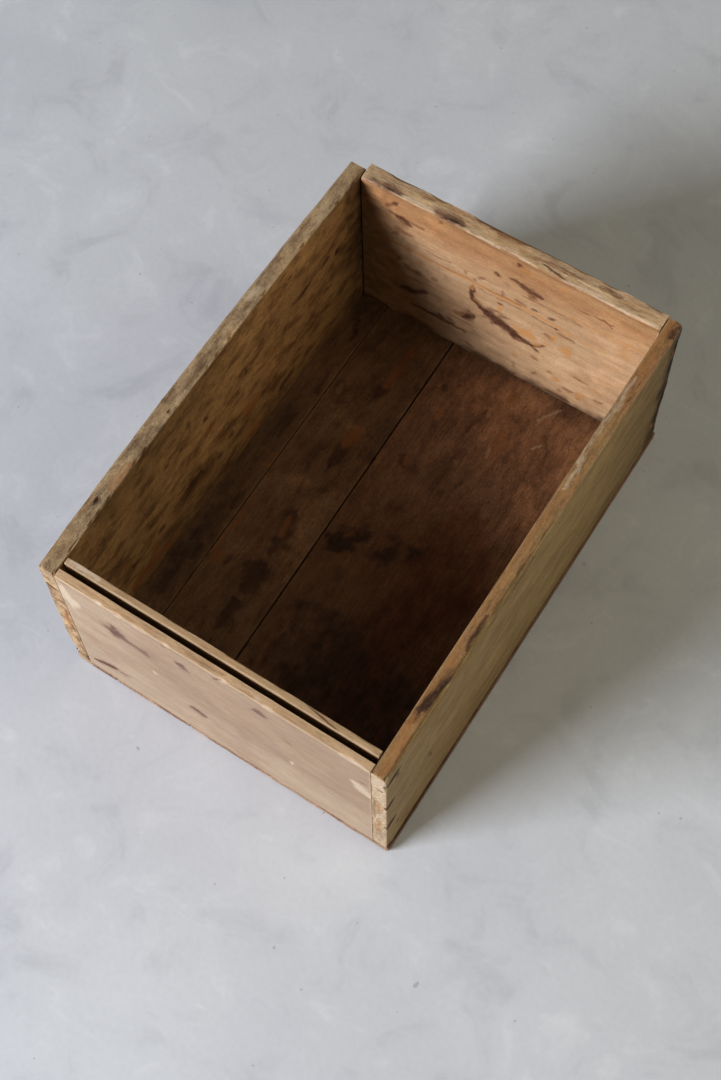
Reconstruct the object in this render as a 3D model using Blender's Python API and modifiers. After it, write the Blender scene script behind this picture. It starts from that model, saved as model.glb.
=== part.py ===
"""A wooden apple crate: eight softwood boards held together by wire nails.

Two side boards stand on a floor of three lengthwise boards. A thick board closes the far end. Two thin
boards close the near end, one behind the other, with a narrow open slot between them.

Every position below is measured from the ground under the outer near left corner: X runs across the
crate to its right side, Y along it to its far end, and Z is up. An empty then carries the whole crate
so that the origin is the middle of its underside.
"""

import math

import bmesh
import bpy
from mathutils import Vector

# Driving dimensions, in metres.
WIDTH = 0.350  # over the two side boards
LENGTH = 0.5035  # from the near end board to the far end board's outer face
HEIGHT = 0.215  # from the ground to the top of the walls
GAP = 0.0003  # between pieces that touch

# Thickness of each kind of board.
LEFT_SIDE = 0.017
RIGHT_SIDE = 0.015
FAR_END = 0.0195
NEAR_END = 0.0086
NEAR_INNER = 0.0068
FLOOR = 0.011

SLOT = 0.0058  # open space between the two near boards
SHRINKAGE = 0.0012  # gap that the near boards have opened at the right side
FLOOR_OVERHANG = 0.0015  # past each side's outer face
LEFT_SIDE_SHORTFALL = 0.008  # how far the left side stops short of the far end's outer face
RIGHT_SIDE_SHORTFALL = 0.002  # the same for the right side
FLOOR_SHORTFALL = 0.001  # the same for the floor boards

# The floor's two seams: X at the near end, X at the far end, and how far each stands open.
NARROW_SEAM = (0.0470, 0.0450, 0.0006)
WIDE_SEAM = (0.1325, 0.1260, 0.0015)

# Age has moved the crate a little.
RACK = 0.0034  # how far the near left corner has slid towards the far end
BOW = 0.004  # how far the middle of the left side stands out
BOW_CUTS = 9  # crosswise cuts that let the left side bend
WORN_EDGE = 0.0007  # width of the worn corners of every board

# Wire nails, with round flat heads sunk just under the wood.
HEAD_RADIUS = 0.0026
HEAD_THICKNESS = 0.0010
SHANK_RADIUS = 0.0012
POINT_LENGTH = 0.0030
SINK = 0.0004
WALL_NAIL = 0.045
FLOOR_NAIL = 0.040
NAIL_SIDES = 8
CUT_PAST_SURFACE = 0.001

# Where the nails go.
CORNER_HEIGHTS = (0.018, 0.078, 0.137, 0.197)
INNER_HEIGHTS = (0.050, 0.187)
SIDE_NAIL_YS = (0.040, 0.145, 0.250, 0.355, 0.445)
END_NAIL_XS = (0.066, 0.105, 0.150, 0.225, 0.295)

PINE = (0.43, 0.27, 0.13)
PALE_PINE = (0.52, 0.38, 0.25)
DARK_PINE = (0.16, 0.09, 0.045)
IRON = (0.10, 0.07, 0.055)

PLUS_X = Vector((1, 0, 0))
PLUS_Z = Vector((0, 0, 1))

WALL_BOTTOM = FLOOR + GAP
NEAR_INNER_START = NEAR_END + SLOT


def clear_scene():
    for old in list(bpy.data.objects):
        bpy.data.objects.remove(old, do_unlink=True)


def new_collection(name, hidden=False):
    collection = bpy.data.collections.new(name)
    collection.hide_render = hidden
    bpy.context.scene.collection.children.link(collection)
    return collection


def new_material(name, color, roughness, metallic=0.0):
    material = bpy.data.materials.new(name)
    material.use_nodes = True
    shader = material.node_tree.nodes["Principled BSDF"]
    shader.inputs["Base Color"].default_value = (*color, 1.0)
    shader.inputs["Roughness"].default_value = roughness
    shader.inputs["Metallic"].default_value = metallic
    material.diffuse_color = (*color, 1.0)
    return material


def bow(y):
    """How far the left side stands out at this Y: nothing at its ends, most at its middle."""
    along = y / LENGTH
    return 4 * BOW * along * (1 - along)


def racked(point):
    """The point after the crate went out of square: the near left corner has slid back the most."""
    x, y, z = point
    return Vector((x, y + RACK * (1 - x / WIDTH) * (1 - y / LENGTH), z))


def bowed(point):
    """The point of the left side after that board has bent outwards."""
    return point - PLUS_X * bow(point.y)


def placed(collection, name, mesh, location, carrier, material):
    mesh.name = name
    mesh.materials.clear()
    mesh.materials.append(material)
    piece = bpy.data.objects.new(name, mesh)
    piece.location = location
    piece.parent = carrier
    collection.objects.link(piece)
    return piece


def board_mesh(low, high, bends, leans):
    """A sawn board between two opposite corners, moved by age, with its middle at the mesh's origin.

    leans says how far its left and its right edge have moved in X by the time they reach the far end.
    """
    low, high = Vector(low), Vector(high)
    middle = racked((low + high) / 2)
    shape = bmesh.new()
    bmesh.ops.create_cube(shape, size=1.0)
    if bends:
        lengthwise = [e for e in shape.edges if abs((e.verts[0].co - e.verts[1].co).y) > 0.5]
        bmesh.ops.subdivide_edges(shape, edges=lengthwise, cuts=BOW_CUTS, use_grid_fill=True)
    for vertex in shape.verts:
        share = vertex.co + Vector((0.5, 0.5, 0.5))
        lean = share.y * (leans[0] + share.x * (leans[1] - leans[0]))
        corner = racked(low + share * (high - low)) + PLUS_X * lean
        vertex.co = (bowed(corner) if bends else corner) - middle
    bmesh.ops.recalc_face_normals(shape, faces=shape.faces)
    mesh = bpy.data.meshes.new("board")
    shape.to_mesh(mesh)
    shape.free()
    return mesh, middle


def add_board(crate, name, low, high, material, bends=False, leans=(0, 0)):
    mesh, middle = board_mesh(low, high, bends, leans)
    board = placed(crate["parts"], name, mesh, middle, crate["carrier"], material)
    edge = board.modifiers.new("worn_edge", "BEVEL")
    edge.width = WORN_EDGE
    edge.segments = 1
    edge.limit_method = "ANGLE"
    edge.angle_limit = math.radians(60)
    return board


def add_walls(crate, pine, pale_pine):
    left_end = LEFT_SIDE + GAP
    right_end = WIDTH - RIGHT_SIDE
    add_board(
        crate,
        "left_side_board",
        (0, 0, WALL_BOTTOM),
        (LEFT_SIDE, LENGTH - LEFT_SIDE_SHORTFALL, HEIGHT),
        pine,
        bends=True,
    )
    add_board(
        crate,
        "right_side_board",
        (right_end, 0, WALL_BOTTOM),
        (WIDTH, LENGTH - RIGHT_SIDE_SHORTFALL, HEIGHT),
        pine,
    )
    add_board(
        crate,
        "far_end_board",
        (left_end, LENGTH - FAR_END, WALL_BOTTOM),
        (right_end - GAP, LENGTH, HEIGHT),
        pine,
    )
    add_board(
        crate,
        "near_end_board",
        (left_end, 0, WALL_BOTTOM),
        (right_end - SHRINKAGE, NEAR_END, HEIGHT),
        pale_pine,
    )
    add_board(
        crate,
        "near_inner_board",
        (left_end, NEAR_INNER_START, WALL_BOTTOM),
        (right_end - SHRINKAGE, NEAR_INNER_START + NEAR_INNER, HEIGHT),
        pale_pine,
    )


def add_floor(crate, dark_pine):
    """Three boards side by side, each from one seam to the next."""
    left_edge = (-FLOOR_OVERHANG, -FLOOR_OVERHANG, 0)
    right_edge = (WIDTH + FLOOR_OVERHANG, WIDTH + FLOOR_OVERHANG, 0)
    seams = [left_edge, NARROW_SEAM, WIDE_SEAM, right_edge]
    for number, (left, right) in enumerate(zip(seams, seams[1:]), start=1):
        low = (left[0] + left[2] / 2, 0, 0)
        high = (right[0] - right[2] / 2, LENGTH - FLOOR_SHORTFALL, FLOOR)
        leans = (left[1] - left[0], right[1] - right[0])
        add_board(crate, f"floor_board_{number}", low, high, dark_pine, leans=leans)


def turned_mesh(name, profile, sides):
    """The closed surface of a profile (radius, height) turned about Z, top to bottom."""
    outline = bpy.data.meshes.new(name + "_profile")
    points = [(radius, 0, height) for radius, height in profile]
    outline.from_pydata(points, [(i, i + 1) for i in range(len(points) - 1)], [])
    lathe = bpy.data.objects.new(name + "_lathe", outline)
    bpy.context.scene.collection.objects.link(lathe)
    screw = lathe.modifiers.new("turn", "SCREW")
    screw.steps = sides
    screw.render_steps = sides
    screw.use_merge_vertices = True
    screw.merge_threshold = 0.00001
    bpy.context.view_layer.update()
    mesh = bpy.data.meshes.new_from_object(lathe.evaluated_get(bpy.context.evaluated_depsgraph_get()))
    bpy.data.objects.remove(lathe, do_unlink=True)
    return mesh


def nail_profile(length, clearance, top):
    """From the middle of the head's top, down the outer side, to the point."""
    head = HEAD_RADIUS + clearance
    shank = SHANK_RADIUS + clearance
    under_head = -HEAD_THICKNESS - clearance
    return [
        (0, top),
        (head, top),
        (head, under_head),
        (shank, under_head),
        (shank, POINT_LENGTH - length - clearance),
        (0, -length - clearance),
    ]


def nail_meshes(name, length):
    """The nail, and the bore that a clearance round it leaves in the wood."""
    nail = turned_mesh(name, nail_profile(length, 0, 0), NAIL_SIDES)
    bore_top = SINK + CUT_PAST_SURFACE
    bore = turned_mesh(name + "_bore", nail_profile(length, GAP, bore_top), NAIL_SIDES)
    return nail, bore


def drive_nail(crate, name, kind, surface, direction, boards):
    """One nail through the first board into the second, its head at a point of the first one's surface."""
    nail_mesh, bore_mesh = crate[kind]
    turn = direction.to_track_quat("-Z", "Y").to_euler()
    location = surface + direction * SINK
    nail = placed(crate["parts"], name, nail_mesh.copy(), location, crate["carrier"], crate["iron"])
    nail.rotation_euler = turn
    nail.data.shade_smooth()
    nail.data.set_sharp_from_angle(angle=math.radians(30))
    bore = bpy.data.objects.new(name + "_bore", bore_mesh)
    bore.location = location
    bore.rotation_euler = turn
    bore.parent = crate["carrier"]
    bore.hide_render = True
    bore.display_type = "WIRE"
    crate["cutters"].objects.link(bore)
    for board in boards:
        cut = bpy.data.objects[board].modifiers.new(name, "BOOLEAN")
        cut.operation = "DIFFERENCE"
        cut.solver = "EXACT"
        cut.object = bore


def nail_corner(crate, corner, heights, place, direction, boards):
    for number, height in enumerate(heights, start=1):
        surface = place(height)
        drive_nail(crate, f"nail_{corner}_{number}", "wall_nail", surface, direction, boards)


def nail_left(y):
    """Places on the bowed outer face of the left side, at this Y, by height."""
    return lambda height: bowed(racked((0, y, height)))


def nail_right(y):
    return lambda height: racked((WIDTH, y, height))


def add_wall_nails(crate):
    near_y = NEAR_END / 2
    inner_y = NEAR_INNER_START + NEAR_INNER / 2
    far_y = LENGTH - LEFT_SIDE_SHORTFALL - (FAR_END - LEFT_SIDE_SHORTFALL) / 2
    left_near = ("left_side_board", "near_end_board")
    right_near = ("right_side_board", "near_end_board")
    left_inner = ("left_side_board", "near_inner_board")
    right_inner = ("right_side_board", "near_inner_board")
    left_far = ("left_side_board", "far_end_board")
    right_far = ("right_side_board", "far_end_board")
    nail_corner(crate, "near_left", CORNER_HEIGHTS, nail_left(near_y), PLUS_X, left_near)
    nail_corner(crate, "near_right", CORNER_HEIGHTS, nail_right(near_y), -PLUS_X, right_near)
    nail_corner(crate, "inner_left", INNER_HEIGHTS, nail_left(inner_y), PLUS_X, left_inner)
    nail_corner(crate, "inner_right", INNER_HEIGHTS, nail_right(inner_y), -PLUS_X, right_inner)
    nail_corner(crate, "far_left", CORNER_HEIGHTS, nail_left(far_y), PLUS_X, left_far)
    nail_corner(crate, "far_right", CORNER_HEIGHTS, nail_right(far_y), -PLUS_X, right_far)


def floor_board_at(x):
    """The board under this X. No nail comes near enough to a seam for its lean to matter."""
    seams_passed = sum(x > seam[0] for seam in (NARROW_SEAM, WIDE_SEAM))
    return f"floor_board_{seams_passed + 1}"


def nail_floor(crate, side, number, point, wall):
    """One nail from below, through the floor board at that point, into the wall above it."""
    boards = (floor_board_at(point.x), wall)
    drive_nail(crate, f"nail_floor_{side}_{number}", "floor_nail", point, PLUS_Z, boards)


def add_floor_nails(crate):
    for number, y in enumerate(SIDE_NAIL_YS, start=1):
        left = bowed(racked((LEFT_SIDE / 2, y, 0)))
        right = racked((WIDTH - RIGHT_SIDE / 2, y, 0))
        nail_floor(crate, "left", number, left, "left_side_board")
        nail_floor(crate, "right", number, right, "right_side_board")
    for number, x in enumerate(END_NAIL_XS, start=1):
        near = racked((x, NEAR_END / 2, 0))
        far = racked((x, LENGTH - FAR_END / 2, 0))
        nail_floor(crate, "near", number, near, "near_end_board")
        nail_floor(crate, "far", number, far, "far_end_board")


def add_carrier(collection):
    """An empty that puts the origin at the middle of the crate's bounding box, at ground level."""
    carrier = bpy.data.objects.new("crate_origin", None)
    left = -bow(LENGTH / 2)
    right = WIDTH + FLOOR_OVERHANG
    carrier.location = (-(left + right) / 2, -LENGTH / 2, 0)
    collection.objects.link(carrier)
    return carrier


def main():
    clear_scene()
    pine = new_material("pine", PINE, 0.75)
    pale_pine = new_material("pale_pine", PALE_PINE, 0.78)
    dark_pine = new_material("dark_pine", DARK_PINE, 0.80)
    parts = new_collection("apple_crate")
    crate = {
        "parts": parts,
        "cutters": new_collection("cutters", hidden=True),
        "carrier": add_carrier(parts),
        "iron": new_material("nail_iron", IRON, 0.60, metallic=1.0),
        "wall_nail": nail_meshes("wall_nail", WALL_NAIL),
        "floor_nail": nail_meshes("floor_nail", FLOOR_NAIL),
    }
    add_walls(crate, pine, pale_pine)
    add_floor(crate, dark_pine)
    add_wall_nails(crate)
    add_floor_nails(crate)
    bpy.context.view_layer.update()


main()
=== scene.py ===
"""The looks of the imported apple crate: worn pine boards, rusty wire nails, a pale floor and soft light.

Every board stands for its CAD node. Its measures come from that node, and its shape is worked out in
crate coordinates: millimetres from the ground under the outer near left corner, X across the crate,
Y along it and Z up, before age racked the crate and bowed its left side.
"""

import itertools
import math

import bmesh
import bpy
import numpy as np
from mathutils import Matrix, Vector


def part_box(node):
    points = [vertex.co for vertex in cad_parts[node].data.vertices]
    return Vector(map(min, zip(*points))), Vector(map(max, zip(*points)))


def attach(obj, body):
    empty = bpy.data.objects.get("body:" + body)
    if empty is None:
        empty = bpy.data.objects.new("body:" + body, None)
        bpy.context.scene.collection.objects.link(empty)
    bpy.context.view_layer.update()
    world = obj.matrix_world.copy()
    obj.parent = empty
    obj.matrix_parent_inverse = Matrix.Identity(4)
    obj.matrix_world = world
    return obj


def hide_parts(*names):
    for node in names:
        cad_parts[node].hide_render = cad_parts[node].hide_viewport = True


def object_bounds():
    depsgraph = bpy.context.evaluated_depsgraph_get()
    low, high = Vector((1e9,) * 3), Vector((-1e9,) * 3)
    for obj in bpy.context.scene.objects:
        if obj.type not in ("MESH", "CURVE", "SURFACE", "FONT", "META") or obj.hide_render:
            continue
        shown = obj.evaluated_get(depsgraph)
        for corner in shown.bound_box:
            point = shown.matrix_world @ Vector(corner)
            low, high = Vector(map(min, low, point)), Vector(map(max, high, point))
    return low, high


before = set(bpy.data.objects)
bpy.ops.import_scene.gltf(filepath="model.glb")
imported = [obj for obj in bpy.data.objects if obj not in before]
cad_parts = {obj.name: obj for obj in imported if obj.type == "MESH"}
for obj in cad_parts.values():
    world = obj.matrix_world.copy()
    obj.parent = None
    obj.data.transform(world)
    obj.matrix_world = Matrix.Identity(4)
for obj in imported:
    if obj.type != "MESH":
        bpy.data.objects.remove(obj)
CAD_LOW, CAD_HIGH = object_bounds()

MM = 1000  # millimetres in a metre

# How age moved the crate, as in the CAD.
RACK = 3.4  # how far the near left corner has slid towards the far end
BOW = 4.0  # how far the middle of the left side stands out
LENGTH = (CAD_HIGH.y - CAD_LOW.y) * MM
WIDTH = (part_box("right_side_board")[1].x - CAD_LOW.x) * MM - BOW
TO_CRATE = np.array([-CAD_LOW.x * MM - BOW, -CAD_LOW.y * MM, 0.0])

ALONG_X, ALONG_Y = 0, 1
FACE_REACH = 3.5  # how far from a face, in mm, its marks still show on a rounded edge

NOISE_SIZE = 64
NOISE_STEP = 7.31  # how far apart two seeds read the table
NOISE_TABLE = np.random.default_rng(11).random((NOISE_SIZE, NOISE_SIZE, NOISE_SIZE)) * 2 - 1


# ---------------------------------------------------------------- shape

def smooth(share):
    """Eases from 0 to 1 as share goes from 0 to 1."""
    share = np.clip(share, 0, 1)
    return share * share * (3 - 2 * share)


def noise(points, cell, seed=0):
    """Smooth noise from -1 to 1 whose bumps are about as long as cell, in mm along X, Y and Z."""
    place = points / np.asarray(cell, float) + seed * NOISE_STEP
    corner = np.floor(place).astype(int)
    share = smooth(place - corner)
    total = np.zeros(len(points))
    for step in itertools.product((0, 1), repeat=3):
        weight = np.prod(np.where(step, share, 1 - share), axis=1)
        index = (corner + step) % NOISE_SIZE
        total += weight * NOISE_TABLE[index[:, 0], index[:, 1], index[:, 2]]
    return total


def bumps(points, size, seed):
    """Noise whose bumps are equally long in every direction."""
    return noise(points, (size, size, size), seed)


def grain_noise(points, grain, along, across, seed):
    """Noise whose bumps are longer along the grain."""
    cell = [across, across, across]
    cell[grain] = along
    return noise(points, cell, seed)


def bow(y):
    """How far the left side stands out at this Y."""
    return 4 * BOW * (y / LENGTH) * (1 - y / LENGTH)


def straight_board(node):
    """The CAD node's corners before age moved it, and how far its two long edges lean by the far end."""
    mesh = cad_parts[node].data
    x, y, z = (np.array([v.co for v in mesh.vertices]) * MM + TO_CRATE).T
    bends = node == "left_side_board"
    if bends:
        x = x + bow(y)
    slid = RACK * (1 - x / WIDTH)
    y = (y - slid) / (1 - slid / LENGTH)
    leans = (0.0, 0.0)
    if node.startswith("floor"):
        near = y < LENGTH / 2
        leans = (x[~near].min() - x[near].min(), x[~near].max() - x[near].max())
        x = x[near]
    low = np.array([x.min(), y.min(), z.min()])
    high = np.array([x.max(), y.max(), z.max()])
    return {"node": node, "low": low, "high": high, "leans": leans, "bends": bends}


def aged(board, points):
    """Crate coordinates in mm to the row frame in metres, with the crate's age in them."""
    share = (points - board["low"]) / (board["high"] - board["low"])
    x, y, z = points.T
    slid = RACK * (1 - x / WIDTH) * (1 - y / LENGTH)
    left_lean, right_lean = board["leans"]
    moved_x = x + share[:, 1] * (left_lean + share[:, 0] * (right_lean - left_lean))
    moved_y = y + slid
    if board["bends"]:
        moved_x = moved_x - bow(moved_y)
    return (np.stack([moved_x, moved_y, z], 1) - TO_CRATE) / MM


# Where the cuts next to an edge lie, in mm from it, and how much of the board's size they may take.
EDGE_LINES = np.array([0, 0.3, 0.7, 1.2, 1.8, 2.6, 3.6, 4.8, 6.4])
EDGE_SHARE = 0.45

SHARPEST = 0.15  # smallest rounding of an edge, in mm
ROUNDEST = 0.46  # largest, as a share of the board's thickness


def grid_lines(low, high, step):
    """Cuts from low to high: close together at both ends, and a step apart between them."""
    near_end = EDGE_LINES[EDGE_LINES < (high - low) * EDGE_SHARE]
    first, last = low + near_end[-1], high - near_end[-1]
    count = max(1, round((last - first) / step))
    middle = np.linspace(first, last, count + 1)[1:-1]
    return np.concatenate([low + near_end, middle, high - near_end[::-1]])


def box_surface(lines):
    """The points and quads of a box's six faces, cut along the given lines."""
    sizes = tuple(len(line) for line in lines)
    cells = np.indices(sizes).reshape(3, -1).T
    outside = ((cells == 0) | (cells == np.array(sizes) - 1)).any(axis=1)
    number = np.full(len(cells), -1)
    number[outside] = np.arange(outside.sum())
    number = number.reshape(sizes)
    points = np.stack([lines[axis][cells[outside, axis]] for axis in range(3)], 1)
    quads = []
    for axis, end in itertools.product(range(3), (0, -1)):
        sheet = np.take(number, end, axis=axis)
        face = np.stack([sheet[:-1, :-1], sheet[1:, :-1], sheet[1:, 1:], sheet[:-1, 1:]], -1)
        face = face.reshape(-1, 4)
        turned_in = (axis == 1) != (end == 0)
        quads.append(face[:, ::-1] if turned_in else face)
    return points, np.concatenate(quads)


def worn(board, points, radius, depth):
    """The box's points with its edges rounded to radius and its faces sunk by depth."""
    thickness = (board["high"] - board["low"]).min()
    radius = np.clip(radius, SHARPEST, thickness * ROUNDEST)[:, None]
    core = np.clip(points, board["low"] + radius, board["high"] - radius)
    outward = points - core
    outward /= np.linalg.norm(outward, axis=1)[:, None]
    return core + outward * (radius - depth[:, None])


def near_plane(points, axis, place, reach):
    """1 on the plane, falling to 0 at reach from it."""
    return smooth(1 - np.abs(points[:, axis] - place) / reach)


STROKE_TIP = 0.45  # a stroke's width at its tips, as a share of its width in the middle


def stroke(spots, width, route):
    """1 on the line through the route's points, and 0 at its width from it, which tapers towards the tips."""
    ends = np.reshape(route, (-1, 2)).astype(float)
    if len(ends) == 1:
        ends = ends + ((-width / 2, 0), (width / 2, 0))
    lengths = [np.linalg.norm(stop - start) for start, stop in zip(ends, ends[1:])]
    strength = np.zeros(len(spots))
    passed = 0.0
    for start, stop, length in zip(ends, ends[1:], lengths):
        along = stop - start
        share = np.clip((spots - start) @ along / length**2, 0, 1)
        away = np.linalg.norm(spots - start - share[:, None] * along, axis=1)
        travelled = (passed + share * length) / sum(lengths)
        swell = np.sqrt(4 * travelled * (1 - travelled))
        wide = width * (STROKE_TIP + (1 - STROKE_TIP) * swell)
        strength = np.maximum(strength, 1 - away / wide)
        passed += length
    return strength


def plane_axes(board, axis):
    """The two axes along a face: the grain first, where it lies in the face."""
    others = [other for other in range(3) if other != axis]
    return sorted(others, key=lambda other: other != board["grain"])


def wobbles(points):
    """How a mark's outline wanders at each point, as a share of its width, along and across it."""
    ways = []
    for seed in (201, 203):
        slow = bumps(points, 18, seed)
        quick = bumps(points, 6.5, seed + 1)
        ways.append(0.42 * slow + 0.30 * quick)
    return np.stack(ways, 1)


def face_marks(board, points, kind, wobble):
    """The strongest mark of that kind at each point: from 0 to about 1, or a dent's depth in mm."""
    result = np.zeros(len(points))
    for (axis, end), marks in board["marks"].items():
        spots = points[:, plane_axes(board, axis)]
        facing = near_plane(points, axis, board[end][axis], FACE_REACH)
        for width, amount, *route in marks.get(kind, ()):
            result = np.maximum(result, facing * amount * stroke(spots + width * wobble, width, route))
    return result


def mesh_object(name, points, faces):
    mesh = bpy.data.meshes.new(name)
    mesh.from_pydata(points.tolist(), [], [list(face) for face in faces])
    mesh.validate()
    piece = bpy.data.objects.new(name, mesh)
    bpy.context.scene.collection.objects.link(piece)
    return piece


# ---------------------------------------------------------------- cutters

def turned(profile, sides):
    """Points and faces of a profile (radius, height) turned about Z, from its top down to its tip."""
    points = []
    for radius, height in profile[1:-1]:
        for side in range(sides):
            turn = 2 * math.pi * side / sides
            points.append((radius * math.cos(turn), radius * math.sin(turn), height))
    rings = len(profile) - 2
    top, tip = len(points), len(points) + 1
    points += [(0, 0, profile[0][1]), (0, 0, profile[-1][1])]
    faces = []
    for side in range(sides):
        after = (side + 1) % sides
        faces.append((top, side, after))
        for ring in range(rings - 1):
            a, b = ring * sides, (ring + 1) * sides
            faces.append((a + side, b + side, b + after, a + after))
        last = (rings - 1) * sides
        faces.append((tip, last + after, last + side))
    return np.array(points), faces


def nails(*groups):
    """The CAD nails whose names start with nail_ and one of the groups."""
    starts = tuple(f"nail_{group}" for group in groups)
    return [node for node in sorted(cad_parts) if node.startswith(starts)]


def nail_place(node):
    """Middle of the head's top in metres, the way the nail points, its length and its head's radius in mm."""
    low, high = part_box(node)
    size = high - low
    axis = max(range(3), key=lambda i: size[i])
    head_last = node in nails("near_right", "inner_right", "far_right")
    top = (low + high) / 2
    top[axis] = high[axis] if head_last else low[axis]
    way = Vector((0, 0, 0))
    way[axis] = -1 if head_last else 1
    head = min(size) / 2 * MM
    return top, way, size[axis] * MM, head


def along_nail(points, top, way):
    """Points about Z, with the nail's tip downwards, to its place in the row frame."""
    turn = way.to_track_quat("-Z", "Y").to_matrix().to_4x4()
    matrix = np.array(Matrix.Translation(top) @ turn)
    return points / MM @ matrix[:3, :3].T + matrix[:3, 3]


# Nails and their bores, in mm.
SHANK = 1.2  # radius
POINT = 3.0  # length
CLEARANCE = 0.3
BORE_TOP = 3.0  # above the wood
BORE_FLARE = 0.15
BORE_SHOULDER = -1.3
BORE_SIDES = 20
NAIL_SIDES = 24


def bore(node):
    """The space that a nail takes in the wood, as a closed shape."""
    top, way, length, head = nail_place(node)
    wide = head + CLEARANCE
    thin = SHANK + CLEARANCE
    profile = [
        (0, BORE_TOP),
        (wide + BORE_FLARE, BORE_TOP),
        (wide, BORE_SHOULDER),
        (thin, BORE_SHOULDER),
        (thin, POINT - length),
        (0, -length - CLEARANCE),
    ]
    points, faces = turned(profile, BORE_SIDES)
    return along_nail(points, top, way), faces


def bores(*groups):
    return [bore(node) for node in nails(*groups)]


WEDGE_SIDES = 14
WEDGE_TOP = 1.2  # how far a wedge stands out of the wood, in mm
WEDGE_ROUGHNESS = 0.16
WEDGE_TIP = 0.35  # how long its bottom is, as a share of its length


def wedge(board, face, length, width, depth, place, turn=0.0):
    """A closed shape, wide at the wood's surface and narrow below, to cut a split or a gouge.

    place is where its middle is on that face, along the grain and across it.
    """
    axis, end = face
    grain, across = plane_axes(board, axis)
    sign = 1 if end == "high" else -1
    rng = np.random.default_rng(int(abs(place[0] * 13 + place[1] * 7)) + 1)
    outline = []
    for side in range(WEDGE_SIDES):
        angle = 2 * math.pi * side / WEDGE_SIDES
        rough = 1 + WEDGE_ROUGHNESS * rng.standard_normal()
        outline.append((math.cos(angle) * length / 2, math.sin(angle) * width / 2 * rough))
    points = []
    for share, height in ((1.12, WEDGE_TOP), (1.0, 0.0), (0.45, -depth * 0.75), (0.12, -depth)):
        for u, v in outline:
            u, v = u * (WEDGE_TIP + (1 - WEDGE_TIP) * share), v * share
            spot = np.zeros(3)
            spot[grain] = place[0] + u * math.cos(turn) - v * math.sin(turn)
            spot[across] = place[1] + u * math.sin(turn) + v * math.cos(turn)
            spot[axis] = board[end][axis] + sign * height
            points.append(spot)
    count = WEDGE_SIDES
    faces = [tuple(range(count)), tuple(range(4 * count - 1, 3 * count - 1, -1))]
    for ring in range(3):
        a, b = ring * count, (ring + 1) * count
        for i in range(count):
            j = (i + 1) % count
            faces.append((a + i, b + i, b + j, a + j))
    return aged(board, np.array(points)), faces


def wedges(board, face, *shapes):
    """Wedges in one face, each given by its length, width, depth, place and perhaps turn."""
    return [wedge(board, face, *shape) for shape in shapes]


def cut(piece, shapes):
    """Takes each closed shape out of the piece."""
    for number, (points, faces) in enumerate(shapes):
        tool = mesh_object(f"tool_{number}", points, faces)
        work = bmesh.new()
        work.from_mesh(tool.data)
        bmesh.ops.recalc_face_normals(work, faces=work.faces)
        work.to_mesh(tool.data)
        work.free()
        change = piece.modifiers.new("cut", "BOOLEAN")
        change.operation = "DIFFERENCE"
        change.solver = "MANIFOLD"
        change.object = tool
    bpy.context.view_layer.update()
    graph = bpy.context.evaluated_depsgraph_get()
    mesh = bpy.data.meshes.new_from_object(piece.evaluated_get(graph))
    tools = [change.object for change in piece.modifiers]
    piece.modifiers.clear()
    old = piece.data
    piece.data = mesh
    bpy.data.meshes.remove(old)
    mesh.name = piece.name
    for tool in tools:
        bpy.data.objects.remove(tool, do_unlink=True)


def unaged(board, place):
    """Row frame in metres back to crate coordinates, near enough for painting."""
    x, y, z = (place * MM + TO_CRATE).T
    if board["bends"]:
        x = x + bow(y)
    slid = RACK * (1 - x / WIDTH)
    y = (y - slid) / (1 - slid / LENGTH)
    share_y = (y - board["low"][1]) / (board["high"] - board["low"])[1]
    left_lean, right_lean = board["leans"]
    share_x = np.clip((x - board["low"][0]) / (board["high"] - board["low"])[0], 0, 1)
    x = x - share_y * (left_lean + share_x * (right_lean - left_lean))
    return np.stack([x, y, z], 1)


# ---------------------------------------------------------------- boards

# Kinds of marks. The light patches are painted light; the broad darkenings are partly dirt and partly painted
# shade.
PAINTS = ("dark", "stain", "rust", "pale", "cool", "warm", "painted_light", "grime_and_shade")
SHARP_ANGLE = math.radians(50)

# How far from an edge, from the top face and from the end grain their own look still shows, in mm.
EDGE_REACH = 7
TOP_REACH = 2.0
END_REACH = 1.5


def edge_nearness(board, points):
    """1 on an edge of the board, 0 at EDGE_REACH from it: where wear shows."""
    gaps = np.minimum(points - board["low"], board["high"] - points)
    second = np.sort(gaps, axis=1)[:, 1]
    return np.clip(1 - second / EDGE_REACH, 0, 1)


def add_paint(board, piece):
    """Stores on every vertex how much of each mark, and of each kind of surface, lies there."""
    mesh = piece.data
    count = len(mesh.vertices)
    place = np.zeros(count * 3)
    mesh.vertices.foreach_get("co", place)
    points = unaged(board, place.reshape(-1, 3))
    wobble = wobbles(points)
    layers = {kind: face_marks(board, points, kind, wobble) for kind in PAINTS}
    layers["edge"] = edge_nearness(board, points)
    layers["tint"] = board["tint"](points) if "tint" in board else np.zeros(count)
    layers["top"] = near_plane(points, 2, board["high"][2], TOP_REACH)
    grain = board["grain"]
    ends = [near_plane(points, grain, board[end][grain], END_REACH) for end in ("low", "high")]
    layers["end"] = np.maximum(*ends)
    for kind, values in layers.items():
        layer = mesh.attributes.get(kind) or mesh.attributes.new(kind, "FLOAT", "POINT")
        layer.data.foreach_set("value", values.astype(np.float32))


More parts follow.
